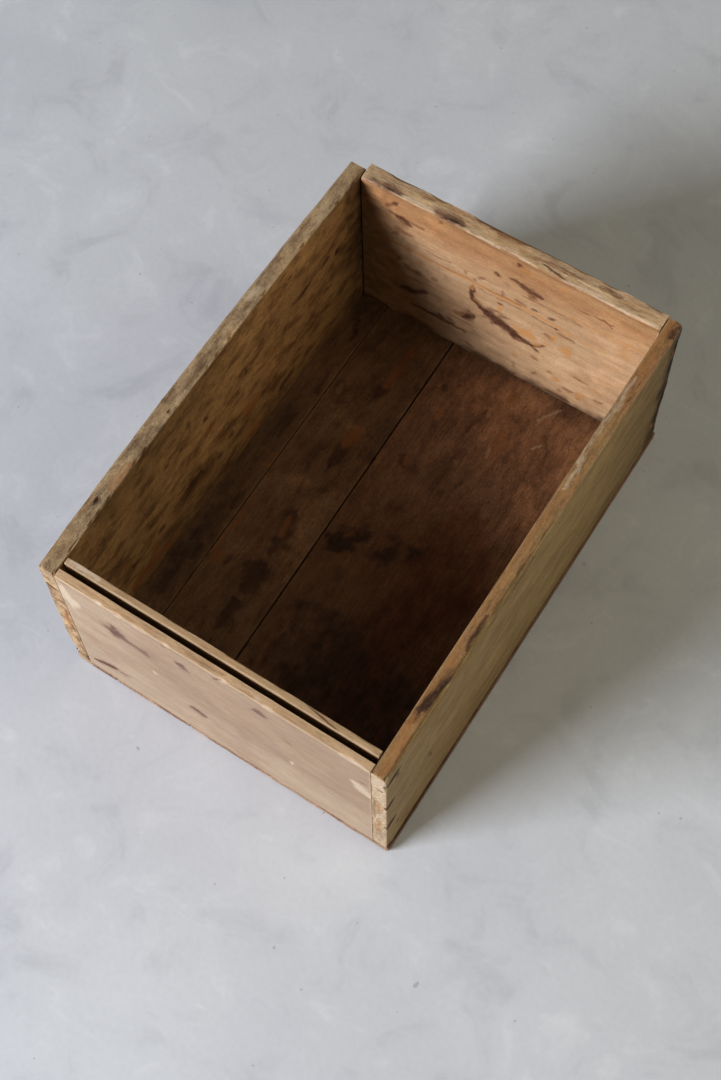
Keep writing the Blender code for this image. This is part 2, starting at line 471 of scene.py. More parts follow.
def make_board(board):
    """The worn board itself: a finely cut box, rounded, sunk, cut into and painted."""
    sizes = zip(board["low"], board["high"], board["step"])
    lines = [grid_lines(low, high, step) for low, high, step in sizes]
    points, quads = box_surface(lines)
    radius = board["radius"](points)
    depth = board["depth"](points) + face_marks(board, points, "dent", wobbles(points))
    shaped = worn(board, points, radius, depth)
    piece = mesh_object(board["node"] + "_worn", aged(board, shaped), quads)
    cut(piece, board["cuts"])
    piece.data.shade_smooth()
    piece.data.set_sharp_from_angle(angle=SHARP_ANGLE)
    add_paint(board, piece)
    piece.data.materials.clear()
    piece.data.materials.append(board["material"])
    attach(piece, "root")
    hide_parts(board["node"])


# ---------------------------------------------------------------- materials

class Graph:
    """A material's node tree, with short ways to add to it."""

    def __init__(self, name):
        self.material = bpy.data.materials.new(name)
        self.material.use_nodes = True
        self.tree = self.material.node_tree
        self.shader = self.tree.nodes["Principled BSDF"]
        self.place = self.add("ShaderNodeTexCoord").outputs["Object"]

    def add(self, kind, inputs=(), **settings):
        node = self.tree.nodes.new(kind)
        for key, value in settings.items():
            setattr(node, key, value)
        for key, value in dict(inputs).items():
            self.feed(node.inputs[key], value)
        return node

    def feed(self, socket, value):
        if isinstance(value, bpy.types.NodeSocket):
            self.tree.links.new(value, socket)
        else:
            socket.default_value = value

    def math(self, operation, a, b=0.0, c=0.0, clamp=False):
        node = self.add("ShaderNodeMath", {0: a, 1: b, 2: c}, operation=operation, use_clamp=clamp)
        return node.outputs[0]

    def product(self, a, b):
        return self.math("MULTIPLY", a, b)

    def attribute(self, name):
        return self.add("ShaderNodeAttribute", attribute_name=name).outputs["Fac"]

    def span(self, value, low, high, to_low=0.0, to_high=1.0):
        """value from low to high becomes to_low to to_high, and eases in and out."""
        inputs = {"Value": value, "From Min": low, "From Max": high, "To Min": to_low, "To Max": to_high}
        node = self.add("ShaderNodeMapRange", inputs, interpolation_type="SMOOTHSTEP")
        return node.outputs["Result"]

    def mix(self, share, a, b, blend="MIX"):
        node = self.add("ShaderNodeMix", data_type="RGBA", blend_type=blend)
        self.feed(node.inputs["Factor"], share)
        for socket, value in ((node.inputs[6], a), (node.inputs[7], b)):
            self.feed(socket, (*value, 1.0) if isinstance(value, tuple) else value)
        return node.outputs[2]

    def tone(self, color, share, factor):
        """The colour, multiplied by the factor where share is 1."""
        return self.mix(share, color, factor, "MULTIPLY")

    def shade(self, color, value):
        """The colour, multiplied by one number."""
        grey = self.add("ShaderNodeCombineColor", {0: value, 1: value, 2: value}).outputs[0]
        return self.mix(1.0, color, grey, "MULTIPLY")

    def vector(self, operation, a, b):
        return self.add("ShaderNodeVectorMath", {0: a, 1: b}, operation=operation).outputs[0]

    def noise(self, scales, detail=3.0, roughness=0.55, distortion=0.0, seed=0.0):
        """Noise from 0 to 1, as many bumps to the metre along X, Y and Z as scales says."""
        place = self.vector("ADD", self.vector("MULTIPLY", self.place, scales), (seed,) * 3)
        inputs = {"Vector": place, "Scale": 1.0, "Detail": detail, "Roughness": roughness}
        inputs["Distortion"] = distortion
        return self.add("ShaderNodeTexNoise", inputs).outputs["Fac"]


def grain_scales(grain, along, across):
    """Pattern sizes in mm, along the grain and across it, as scales."""
    sizes = [across, across, across]
    sizes[grain] = along
    return tuple(MM / size for size in sizes)


# Growth rings: the size in mm of their wander along and across the grain, and where in each ring the wood
# darkens, is darkest and turns pale again.
WANDER_SIZES = (260, 45)
SUMMER_RISE = (0.15, 0.86)
SUMMER_FALL = (0.90, 1.0)


def grown_rings(graph, look):
    """0 to 1 across every growth ring: pale spring wood, then the dark line of summer wood."""
    grain = look["grain"]
    parts = graph.add("ShaderNodeSeparateXYZ", {0: graph.place}).outputs
    pith_across, pith_up = look["pith"]
    wander = graph.noise(grain_scales(grain, *WANDER_SIZES), detail=2.0, seed=look["seed"])
    lean = graph.product(parts[grain], look["taper"])
    across = graph.math("SUBTRACT", parts[1 - grain], pith_across / MM)
    up = graph.math("SUBTRACT", parts[2], pith_up / MM)
    square = graph.math("ADD", graph.product(across, across), graph.product(up, up))
    radius = graph.math("ADD", graph.math("SQRT", square), lean)
    radius = graph.math("MULTIPLY_ADD", wander, look["wander"] / MM, radius)
    phase = graph.math("FRACT", graph.product(radius, MM / look["ring"]))
    rise = graph.span(phase, *SUMMER_RISE)
    fall = graph.span(phase, *SUMMER_FALL, 1.0, 0.0)
    return graph.product(rise, fall)


PAINT_EDGE = 0.42  # how strong a painted mark is where it begins to show
PAINT_SHAKE = 1.9  # how much noise moves that edge
PAINT_START = (0.02, 0.22)  # below this there is no mark, whatever the noise


def patched(graph, name, feather, soft):
    """Where a painted mark shows. Noise breaks up its edge, which is sharper where soft is low."""
    painted = graph.attribute(name)
    shaken = graph.math("MULTIPLY_ADD", graph.math("SUBTRACT", feather, 0.5), PAINT_SHAKE, painted)
    shown = graph.span(shaken, PAINT_EDGE - soft / 2, PAINT_EDGE + soft / 2)
    return graph.product(shown, graph.span(painted, *PAINT_START))


# The patterns of pine: size in mm along the grain and across it, detail, roughness, distortion and seed.
PATTERNS = {
    "blotch": (120, 45, 4.0, 0.6, 0.0, 3),
    "cloud": (40, 18, 5.0, 0.65, 0.0, 5),
    "mottle": (15, 7, 5.0, 0.66, 0.7, 21),
    "grit": (1.9, 1.9, 3.0, 0.7, 0.0, 37),
    "fibre": (50, 1.5, 3.0, 0.6, 0.0, 9),
    "speck": (7, 2.4, 3.0, 0.7, 0.0, 13),
    "rough": (5, 3.0, 5.0, 0.7, 0.0, 17),
    "streak": (15, 1.4, 3.0, 0.65, 0.0, 33),
    "weather": (15, 3.0, 5.0, 0.72, 0.0, 25),
    "pores": (3.4, 3.4, 4.0, 0.7, 0.0, 29),
}

# How patterns tone the wood: the pattern, where it begins and is full, its strength and its factor.
TONES = (
    ("blotch", 0.35, 0.68, "blotch_show", "blotch"),
    ("cloud", 0.44, 0.68, "cloud_show", "cloud"),
    ("cloud", 0.48, 0.28, "light_show", "light"),
    ("mottle", 0.46, 0.68, "mottle_show", "cloud"),
    ("mottle", 0.46, 0.26, "mottle_show", "light"),
)

# Between which values a pattern, or the wear of an edge, comes to show.
WEATHERED = (0.47, 0.64)
PITTED = (0.48, 0.66)
SPECKED = (0.62, 0.74)
SPECK_PITS = (0.60, 0.76)
SHADED = (0.30, 0.70)
WORN_OFF = (0.62, 1.0)
GRIME_AND_SHADE_ON_EDGE = -0.8  # how far dirt and painted shade hold that wear back
EDGE_SHAKE = 1.8  # how much noise moves it

PINE_SPECULAR = 0.3
ROUGHNESS_SPREAD = (-0.08, 0.10)
BUMP_HEIGHT = 0.0006  # in metres
RELIEF = {"fibre": 0.5, "grit": 0.5, "rings": -0.2, "speck": -0.8, "top": -0.9, "end": -0.9, "dark": -0.6}


def pine_patterns(graph, look):
    patterns = {}
    for name, (along, across, detail, roughness, distortion, seed) in PATTERNS.items():
        scales = grain_scales(look["grain"], along, across)
        patterns[name] = graph.noise(scales, detail, roughness, distortion, look["seed"] + seed)
    return patterns


def pine(title, look):
    """Old pine: growth rings, fibres, blotches, bruises, rust and worn edges, with painted light and painted
    shade.
    """
    graph = Graph(title)
    rings = grown_rings(graph, look)
    patterns = pine_patterns(graph, look)
    grit, fibre, speck = patterns["grit"], patterns["fibre"], patterns["speck"]
    feather = graph.math("MULTIPLY_ADD", patterns["rough"], 0.5, graph.product(patterns["streak"], 0.5))
    fill = graph.span(grit, 0.30, 0.60, 0.65, 1.0)
    cover = graph.span(patterns["blotch"], 0.2, 0.6, 0.65, 1.0)

    def shown(kind):
        """A mark with a ragged edge."""
        share = graph.product(patched(graph, kind, feather, look["soft"]), fill)
        return graph.product(share, look[kind + "_show"])

    def spread(kind):
        """A mark without an edge, such as a change of tone."""
        return graph.product(graph.attribute(kind), cover)

    color = graph.mix(graph.attribute("tint"), look["base"], look["tint"])
    color = graph.mix(graph.attribute("top"), color, look["top"])
    color = graph.mix(graph.attribute("end"), color, look["end"])
    color = graph.tone(color, graph.product(rings, look["ring_show"]), look["summer"])
    for pattern, start, full, strength, factor in TONES:
        share = graph.span(patterns[pattern], start, full, 0.0, look[strength])
        color = graph.tone(color, share, look[factor])
    for pattern, strength in ((fibre, look["fibre_show"]), (grit, look["grit_show"])):
        color = graph.shade(color, graph.span(pattern, *SHADED, 1 - strength, 1 + strength))
    aged_top = graph.product(graph.attribute("top"), graph.span(patterns["weather"], *WEATHERED))
    color = graph.tone(color, graph.product(aged_top, look["weather_show"]), look["weather"])
    pitted = graph.product(graph.attribute("end"), graph.span(patterns["pores"], *PITTED))
    color = graph.tone(color, graph.product(pitted, look["pore_show"]), look["pore"])
    color = graph.tone(color, graph.span(speck, *SPECKED, 0.0, look["speck_show"]), look["stain"])
    color = graph.tone(color, spread("warm"), look["warm"])
    color = graph.tone(color, graph.product(spread("cool"), look["cool_show"]), look["cool"])
    # Painted light: brightens the wood where light falls on it.
    color = graph.tone(color, graph.attribute("painted_light"), look["painted_light"])
    color = graph.tone(color, shown("stain"), look["stain"])
    color = graph.tone(color, shown("dark"), look["dark"])
    color = graph.mix(shown("rust"), color, look["rust"])
    # Worn edges show less where dirt and painted shade lie.
    wear = graph.math("MULTIPLY_ADD", graph.attribute("grime_and_shade"), GRIME_AND_SHADE_ON_EDGE, graph.attribute("edge"))
    wear = graph.math("MULTIPLY_ADD", graph.math("SUBTRACT", feather, 0.5), EDGE_SHAKE, wear)
    color = graph.mix(graph.span(wear, *WORN_OFF, 0.0, look["edge_show"]), color, look["edge"])
    color = graph.mix(shown("pale"), color, look["pale"])
    # Darkens the wood: partly dirt, partly painted shade in corners, along creases and in cast shadows.
    color = graph.tone(color, spread("grime_and_shade"), look["grime_and_shade"])
    graph.feed(graph.shader.inputs["Base Color"], color)

    roughness = [look["rough"] + spread for spread in ROUGHNESS_SPREAD]
    graph.feed(graph.shader.inputs["Roughness"], graph.span(patterns["cloud"], *SHADED, *roughness))
    graph.shader.inputs["Specular IOR Level"].default_value = PINE_SPECULAR
    relief = graph.product(fibre, RELIEF["fibre"])
    raised = {"grit": grit, "rings": rings, "speck": graph.span(speck, *SPECK_PITS)}
    raised.update(top=aged_top, end=pitted, dark=shown("dark"))
    for name, pattern in raised.items():
        relief = graph.math("MULTIPLY_ADD", pattern, RELIEF[name], relief)
    inputs = {"Height": relief, "Strength": look["bump"], "Distance": BUMP_HEIGHT}
    bump = graph.add("ShaderNodeBump", inputs)
    graph.feed(graph.shader.inputs["Normal"], bump.outputs[0])
    return graph.material


# Colours of the wood and of what lies on it, linear. A name with _show is that pattern's strength; blotch,
# cloud, light, weather, pore, stain, dark, cool, warm and summer multiply the wood's colour, and so do the
# painted light that brightens lit patches and the darkening that is partly dirt and partly painted shade.
PINE = dict(
    grain=ALONG_Y, pith=(-60.0, 150.0), taper=0.02, wander=26.0, ring=5.0, ring_show=0.35,
    summer=(0.68, 0.58, 0.50), blotch=(0.74, 0.72, 0.70), blotch_show=0.6, cloud=(0.62, 0.56, 0.50),
    cloud_show=0.6, mottle_show=0.35, light=(1.22, 1.24, 1.26), light_show=0.7, fibre_show=0.12,
    grit_show=0.16, speck_show=0.5, weather=(0.50, 0.47, 0.46), weather_show=0.8,
    pore=(0.45, 0.34, 0.26), pore_show=0.8, stain=(0.42, 0.33, 0.29), stain_show=0.85, rust_show=0.8,
    dark=(0.17, 0.11, 0.10), dark_show=0.95, cool=(0.52, 0.50, 0.58), cool_show=0.8,
    warm=(0.72, 0.50, 0.40), painted_light=(1.6, 1.6, 1.6), edge_show=0.6, pale_show=0.9,
    grime_and_shade=(0.12, 0.10, 0.10), soft=0.6, rough=0.66, bump=0.6,
)

LEFT_LOOK = dict(
    PINE, seed=1.0, base=(0.335, 0.185, 0.072), tint=(0.24, 0.13, 0.05), top=(0.43, 0.305, 0.17),
    end=(0.56, 0.37, 0.19), edge=(0.42, 0.29, 0.16), pale=(0.50, 0.37, 0.24), rust=(0.30, 0.105, 0.026),
    rust_show=0.95, cloud=(0.46, 0.39, 0.35), cloud_show=0.95, mottle_show=0.55, fibre_show=0.07,
    grit_show=0.2, weather_show=0.55, pore_show=0.65, ring_show=0.1, soft=1.0, pith=(40.0, -300.0),
)
RIGHT_LOOK = dict(
    PINE, seed=22.0, base=(0.315, 0.202, 0.077), tint=(0.225, 0.143, 0.055), top=(0.35, 0.178, 0.067),
    end=(0.58, 0.43, 0.27), edge=(0.38, 0.25, 0.13), pale=(0.50, 0.37, 0.24), rust=(0.34, 0.15, 0.045),
    cloud_show=0.35, mottle_show=0.25, ring_show=0.2, speck_show=0.25, pith=(300.0, 60.0),
)
FAR_LOOK = dict(
    PINE, grain=ALONG_X, seed=41.0, base=(0.52, 0.32, 0.17), tint=(0.46, 0.245, 0.105),
    top=(0.67, 0.475, 0.265), end=(0.46, 0.30, 0.16), edge=(0.62, 0.42, 0.26), pale=(0.64, 0.46, 0.31),
    rust=(0.52, 0.225, 0.06), rust_show=0.9, dark=(0.20, 0.105, 0.085), stain=(0.46, 0.31, 0.25),
    blotch=(0.88, 0.82, 0.76), cloud=(0.80, 0.70, 0.60), light=(1.10, 1.14, 1.18), pith=(260.0, 420.0),
    ring=17.0, ring_show=0.24, wander=40.0, grit_show=0.1, speck_show=0.3, soft=0.7,
)
NEAR_LOOK = dict(
    PINE, grain=ALONG_X, seed=63.0, base=(0.395, 0.28, 0.182), tint=(0.34, 0.228, 0.142),
    top=(0.58, 0.37, 0.198), end=(0.42, 0.28, 0.16), edge=(0.46, 0.32, 0.19), pale=(0.56, 0.43, 0.30),
    rust=(0.40, 0.22, 0.10), dark=(0.42, 0.25, 0.24), stain=(0.55, 0.40, 0.34), cool=(0.64, 0.60, 0.65),
    summer=(0.86, 0.80, 0.74), ring_show=0.2, blotch=(0.86, 0.86, 0.88), cloud=(0.86, 0.83, 0.82),
    light=(1.10, 1.12, 1.12), fibre_show=0.05, grit_show=0.07, speck_show=0.15,
    weather=(0.62, 0.56, 0.50), weather_show=0.6, soft=0.9, bump=0.35,
)
INNER_LOOK = dict(NEAR_LOOK, seed=70.0, base=(0.32, 0.20, 0.10), top=(0.45, 0.285, 0.14))
FLOOR_LOOK = dict(
    PINE, base=(0.165, 0.081, 0.034), tint=(0.12, 0.06, 0.027), top=(0.165, 0.081, 0.034),
    end=(0.50, 0.30, 0.17), edge=(0.24, 0.145, 0.075), pale=(0.40, 0.27, 0.15),
    rust=(0.23, 0.078, 0.020), rust_show=0.9, cloud=(0.58, 0.52, 0.48), weather_show=0.35,
    edge_show=0.35, cloud_show=0.75, mottle_show=0.55, ring_show=0.2, fibre_show=0.16, grit_show=0.24,
    dark=(0.30, 0.17, 0.12), dark_show=0.9, soft=1.0, rough=0.55,
)
WIDE_FLOOR_LOOK = dict(
    FLOOR_LOOK, base=(0.187, 0.083, 0.0345), top=(0.187, 0.083, 0.0345), pith=(60.0, -90.0), taper=0.05,
)


def iron():
    """Nail iron, brown and dull with rust."""
    graph = Graph("nail_iron")
    rust = graph.noise((900.0, 900.0, 900.0), detail=4.0, roughness=0.7)
    color = graph.mix(graph.span(rust, 0.35, 0.65), (0.05, 0.035, 0.03), (0.17, 0.07, 0.03))
    graph.feed(graph.shader.inputs["Base Color"], color)
    graph.feed(graph.shader.inputs["Roughness"], graph.span(rust, 0.3, 0.7, 0.45, 0.9))
    graph.shader.inputs["Metallic"].default_value = 0.45
    bump = graph.add("ShaderNodeBump", {"Height": rust, "Strength": 0.6, "Distance": 0.0002})
    graph.feed(graph.shader.inputs["Normal"], bump.outputs[0])
    return graph.material


# ---------------------------------------------------------------- each board

def edge_pull(points, axis_places, reach):
    """1 along the edge where these planes meet, and 0 at reach from it."""
    pull = np.ones(len(points))
    for axis, place in axis_places:
        pull = pull * near_plane(points, axis, place, reach)
    return pull


PIT_REACH = 2.5  # how far from the end grain its pits reach, in mm


def base_depth(points, board, seed):
    """Sawn faces aren't flat: slow waves and shallow furrows. Ends are pitted, and tops worn in waves."""
    grain = board["grain"]
    slow = 0.16 * (1 + grain_noise(points, grain, 130, 60, seed))
    furrow = 0.05 * (1 + grain_noise(points, grain, 45, 3.5, seed + 1))
    ends = sum(near_plane(points, grain, board[end][grain], PIT_REACH) for end in ("low", "high"))
    pits = 0.35 * ends * np.clip(bumps(points, 2.6, seed + 2), 0, 1)
    top = near_plane(points, 2, board["high"][2], TOP_REACH)
    wave = 0.45 * top * (1 + grain_noise(points, grain, 26, 7, seed + 3)) * board.get("top_wave", 1)
    return slow + furrow + pits + wave


# A board's faces, as their axis and their end.
LEFT, RIGHT = (0, "low"), (0, "high")
NEAR, FAR = (1, "low"), (1, "high")
TOP = (2, "high")


def left_board():
    board = straight_board("left_side_board")
    x0, y0, z0 = board["low"]
    x1, _, z1 = board["high"]

    def radius(points):
        """Torn along the inner top edge, worn along the outer one, and broken away at the near foot."""
        jag = np.clip(noise(points, (9, 7, 9), 3), 0, 1) ** 1.2
        inner = edge_pull(points, ((0, x1), (2, z1)), 8) * (0.5 + 6.5 * jag)
        outer = edge_pull(points, ((0, x0), (2, z1)), 8) * (1.4 + 2.6 * noise(points, (24, 16, 24), 4))
        foot = edge_pull(points, ((0, x0), (1, y0), (2, z0)), 44) * 9
        side = edge_pull(points, ((0, x0), (1, y0)), 8) * (1.2 + 1.4 * bumps(points, 9, 6))
        return 0.8 + 0.4 * bumps(points, 20, 5) + inner + outer + foot + side

    board.update(grain=ALONG_Y, step=(2.2, 2.0, 2.2), radius=radius)
    board["depth"] = lambda points: base_depth(points, board, 10)
    board["marks"] = {RIGHT: LEFT_INNER, TOP: LEFT_TOP, LEFT: LEFT_OUTER, NEAR: LEFT_END}
    dents = ((9, 3.0, 2.2, (78, 8)), (6, 2.4, 2.0, (182, 12)))
    crumbs = ((13, 158, 5), (14, 131, 7), (12, 112, 6), (14, 96, 5), (12, 84, 8), (9, 76, 5))
    board["cuts"] = bores("near_left", "inner_left", "far_left") + bores("floor_left")
    board["cuts"] += wedges(board, TOP, *dents)
    board["cuts"] += wedges(board, NEAR, (17, 2.2, 3.0, (7, 180), -0.45))
    board["cuts"] += wedges(board, NEAR, *((size, size * 0.6, 1.8, (x, z), 0.9) for x, z, size in crumbs))
    board.update(material=pine("left_pine", LEFT_LOOK), slot="wall_pine")
    return board


def right_board():
    board = straight_board("right_side_board")
    x0, y0, _ = board["low"]
    x1, y1, z1 = board["high"]

    def radius(points):
        """Worn along the outer top edge as far as its middle, ragged at the far end, crisp at the joint."""
        heavy = smooth((300 - points[:, 1]) / 70)
        rag = 1 + 0.55 * noise(points, (16, 13, 16), 23)
        outer = edge_pull(points, ((0, x1), (2, z1)), 9) * (0.9 + 4.6 * heavy * rag)
        notch = edge_pull(points, ((0, x1), (1, y0), (2, 193)), 9) * 5
        far = edge_pull(points, ((0, x1), (1, y1)), 16) * (4.2 + 4.5 * noise(points, (9, 9, 13), 24))
        crisp = 1 - 0.8 * edge_pull(points, ((0, x0), (1, y0)), 3)
        return crisp * (0.7 + 0.3 * bumps(points, 20, 25)) + outer + notch + far

    board.update(grain=ALONG_Y, step=(2.2, 2.0, 2.2), radius=radius)
    board["depth"] = lambda points: base_depth(points, board, 30)
    board["tint"] = lambda points: smooth((points[:, 1] - 330) / 150)
    board["marks"] = {RIGHT: RIGHT_OUTER, TOP: RIGHT_TOP, NEAR: RIGHT_END}
    splits = ((8, 197, 26), (4, 137, 17), (6, 77, 21))
    bites = ((488, 190), (493, 158), (487, 122), (492, 92), (486, 60), (491, 33))
    board["cuts"] = bores("near_right", "inner_right", "far_right", "floor_right")
    board["cuts"] += wedges(board, RIGHT, *((length, 5.0, 4.0, (y, z)) for y, z, length in splits))
    board["cuts"] += wedges(board, RIGHT, *((19, 9.0, 2.2, place, 1.2) for place in bites))
    board.update(material=pine("right_pine", RIGHT_LOOK), slot="wall_pine")
    return board


def far_board():
    board = straight_board("far_end_board")
    _, y0, _ = board["low"]
    _, y1, z1 = board["high"]

    def radius(points):
        inner = edge_pull(points, ((1, y0), (2, z1)), 8) * (1.8 + 2.0 * bumps(points, 11, 43))
        outer = edge_pull(points, ((1, y1), (2, z1)), 9) * (2.2 + 3.4 * bumps(points, 15, 44))
        return 0.6 + 0.3 * bumps(points, 20, 45) + inner + outer

    board.update(grain=ALONG_X, step=(2.0, 2.2, 2.2), radius=radius)
    board["depth"] = lambda points: base_depth(points, board, 50)
    board["tint"] = lambda points: smooth((points[:, 2] - 135) / 70)
    board["marks"] = {NEAR: FAR_INNER, TOP: FAR_TOP, FAR: FAR_OUTER}
    board["cuts"] = bores("far_left", "far_right", "floor_far")
    board["cuts"] += wedges(board, TOP, (30, 1.0, 3.0, (225, 488.5), -0.15))
    board.update(material=pine("far_pine", FAR_LOOK), slot="wall_pine")
    return board


# Where the near end board's top edge is chipped: X and half the chip's length.
CHIPS = ((63, 4), (83, 4), (105, 8), (132, 3), (190, 5), (235, 5), (317, 13))
JOINT_CLOSED = 1.1  # how much of the gap at the near board's right end swelling has closed, in mm


def near_board():
    board = straight_board("near_end_board")
    board["high"][0] += JOINT_CLOSED
    _, y0, _ = board["low"]
    x1, _, z1 = board["high"]

    def radius(points):
        chipped = sum(smooth(1 - np.abs(points[:, 0] - x) / (half + 3)) for x, half in CHIPS)
        outer = edge_pull(points, ((1, y0), (2, z1)), 6) * (0.5 + 2.4 * np.clip(chipped, 0, 1))
        crisp = 1 - 0.8 * edge_pull(points, ((0, x1), (1, y0)), 3)
        return crisp * (0.45 + 0.2 * bumps(points, 15, 63)) + outer

    board.update(grain=ALONG_X, step=(2.0, 1.6, 2.2), radius=radius, top_wave=0.6)
    board["depth"] = lambda points: base_depth(points, board, 70) * 0.6
    board["tint"] = lambda points: smooth((points[:, 2] - 55) / 60) * smooth((points[:, 0] - 20) / 120)
    board["marks"] = {NEAR: NEAR_OUTER, TOP: NEAR_TOP}
    slit = (30, 2.8, 3.2, (39, 38), 0.40)
    slit_end = (15, 3.4, 0.9, (64, 43.5), 0.35)
    top_chip = (7, 9.0, 1.6, (190, 210), 0.9)
    board["cuts"] = bores("near_left", "near_right", "floor_near")
    board["cuts"] += wedges(board, NEAR, slit, slit_end, top_chip)
    board.update(material=pine("near_pine", NEAR_LOOK), slot="near_end_pine")
    return board


def inner_board():
    board = straight_board("near_inner_board")
    z1 = board["high"][2]

    def radius(points):
        top = edge_pull(points, ((2, z1),), 5) * 0.7 * (1 + bumps(points, 12, 82))
        return 0.4 + 0.2 * bumps(points, 15, 83) + top

    board.update(grain=ALONG_X, step=(2.2, 1.6, 2.6), radius=radius, top_wave=0.6)
    board["depth"] = lambda points: base_depth(points, board, 90) * 0.6
    board["marks"] = {TOP: INNER_TOP, FAR: INNER_BACK}
    board["cuts"] = bores("inner_left", "inner_right")
    board["cuts"] += wedges(board, TOP, (36, 0.8, 3.0, (276, 18), -0.16))
    board.update(material=pine("inner_pine", INNER_LOOK), slot="near_end_pine")
    return board


def floor_board(number, marks):
    board = straight_board(f"floor_board_{number}")
    x0, y0, z0 = board["low"]
    x1 = board["high"][0]

    def radius(points):
        """Ragged along the underside's rims, and rounded off at the crate's near left corner."""
        rag = 1 + 1.2 * noise(points, (9, 12, 9), 100 + number)
        rim = edge_pull(points, ((1, y0), (2, z0)), 6) + edge_pull(points, ((0, x1), (2, z0)), 6)
        corner = edge_pull(points, ((0, x0), (1, y0)), 18) * 5 * (number == 1)
        return 0.5 + 0.25 * bumps(points, 15, 103 + number) + 1.2 * rim * rag + corner

    board.update(grain=ALONG_Y, step=(2.0, 2.0, 2.2), radius=radius, top_wave=0.25)
    board["depth"] = lambda points: base_depth(points, board, 110 + 7 * number)
    board["marks"] = {TOP: marks, NEAR: FLOOR_EDGE}
    floor_nails = nails("floor_left", "floor_right", "floor_near", "floor_far")
    board["cuts"] = [bore(node) for node in floor_nails if over(board, node)]
    look = dict(WIDE_FLOOR_LOOK if number == 3 else FLOOR_LOOK, seed=84.0 + 9 * number)
    board.update(material=pine(f"floor_pine_{number}", look), slot="floor_pine")
    return board


def over(board, nail):
    """Whether that nail from below goes through this floor board."""
    x = nail_place(nail)[0].x * MM + TO_CRATE[0]
    return board["low"][0] < x < board["high"][0]


# ---------------------------------------------------------------- marks
# By kind. Each mark has its width in mm, its strength, and the points it runs through: their places
# along the face's grain and across it, in crate coordinates. A dent's strength is its depth in mm.
# The light patches are painted light; the broad darkenings are partly dirt and partly painted shade.

LEFT_INNER = {
    "dark": [
        (6, 0.9, 88, 68, 94, 62), (6, 0.9, 127, 64, 138, 63), (7, 0.8, 175, 72, 205, 70),
        (8, 0.85, 219, 146, 223, 143), (4, 0.8, 222, 122, 230, 119), (5, 0.8, 285, 140, 286, 132),
        (4, 0.8, 384, 144, 398, 143), (6, 0.9, 416, 147, 430, 149), (6, 0.9, 441, 145, 446, 138),
        (6, 0.8, 227, 60, 234, 52), (9, 0.8, 246, 64, 256, 62), (8, 0.85, 338, 34, 362, 41),
        (5, 0.8, 370, 62, 378, 58),
    ],
    "stain": [
        (12, 1, 68, 66, 98, 64), (20, 1, 170, 70, 222, 68), (6, 0.9, 155, 148, 164, 150),
        (5, 0.8, 196, 156, 199, 175), (5, 0.9, 276, 143, 300, 142), (5, 0.9, 365, 145, 400, 144),
        (8, 0.9, 444, 142, 456, 130), (4, 0.8, 246, 80, 256, 84, 266, 78), (10, 1, 380, 38, 396, 36),
        (6, 0.8, 60, 155, 62, 168), (5, 0.8, 80, 187, 84, 180), (6, 0.8, 48, 130, 62, 128),
        (4, 0.8, 415, 102, 432, 100), (5, 0.8, 300, 112, 320, 108), (5, 0.8, 358, 114, 380, 110),
        (14, 0.9, 300, 60, 345, 56), (10, 0.9, 120, 92, 150, 88), (9, 0.9, 330, 92, 352, 90),
        (8, 0.9, 404, 76, 428, 72), (9, 0.9, 182, 110, 204, 112), (8, 0.9, 256, 122, 274, 124),
        (22, 0.8, 60, 88, 88, 84), (18, 0.8, 226, 92, 250, 90), (16, 0.8, 396, 112, 412, 106),
        (20, 0.7, 310, 168, 332, 164), (16, 0.7, 120, 164, 136, 160),
    ],
    "rust": [
        (5, 0.9, 221, 123, 228, 119, 236, 119), (14, 0.8, 275, 72, 296, 68), (6, 0.8, 330, 72, 318, 70),
        (8, 0.9, 118, 58, 117, 38), (14, 0.7, 80, 30, 150, 22), (16, 0.7, 265, 35, 290, 24),
    ],
    # Painted light on patches in the middle and near the top; painted shade, partly dirt, along the floor, in
    # the far corner and on patches near the top and the near end.
    "painted_light": [(60, 0.6, 175, 112, 270, 114, 360, 112), (44, 0.5, 262, 196, 380, 192)],
    "grime_and_shade": [
        (16, 0.5, 0, 13, 495, 13), (52, 0.95, 494, 20, 494, 215), (50, 0.3, 60, 200, 200, 196),
        (40, 0.35, 20, 150, 20, 60), (26, 0.35, 90, 30, 260, 30),
    ],
}

LEFT_END = {
    "dark": [(4, 0.9, 1, 183, 13, 178), (3, 0.8, 14, 134, 13, 118), (3.5, 0.8, 14, 98, 12, 82)],
    "stain": [(3, 0.9, 14, 166, 15, 146), (4, 0.8, 12, 66, 13, 40)],
    "rust": [(6, 0.8, 13, 126, 12, 92)],
    "pale": [(6, 0.7, 4, 204, 12, 205)],
}

LEFT_TOP = {
    "dark": [(4, 0.9, 74, 8, 82, 8), (3, 0.9, 180, 12, 184, 12)],
    "stain": [(3, 0.8, 120, 4, 150, 5), (3, 0.8, 205, 12, 235, 11), (4, 0.8, 385, 5, 420, 6)],
    "rust": [(7, 0.6, 95, 12, 120, 13)],
    "pale": [(7, 0.8, 314, 5, 332, 8)],
    "cool": [(14, 0.7, 330, 8, 360, 9)],
    "dent": [(8, 1, 62, 3, 78, 1), (6, 1, 275, 14, 280, 17)],
}

LEFT_OUTER = {
    "dark": [(6, 0.9, 150, 60, 168, 63), (5, 0.8, 330, 84, 342, 83)],
    "stain": [(9, 0.8, 60, 120, 84, 122), (12, 0.9, 260, 150, 300, 154), (8, 0.8, 430, 44, 462, 47)],
    "rust": [
        (9, 0.8, 392, 120, 404, 118),
        *((7, 0.8, y, z) for y in (4, 490) for z in (18, 78, 137, 197)),  # round the nails
    ],
    "cool": [(16, 0.6, 210, 190, 250, 186)],
    # Darker along the foot.
    "grime_and_shade": [(12, 0.4, 0, 13, 495, 13)],
}

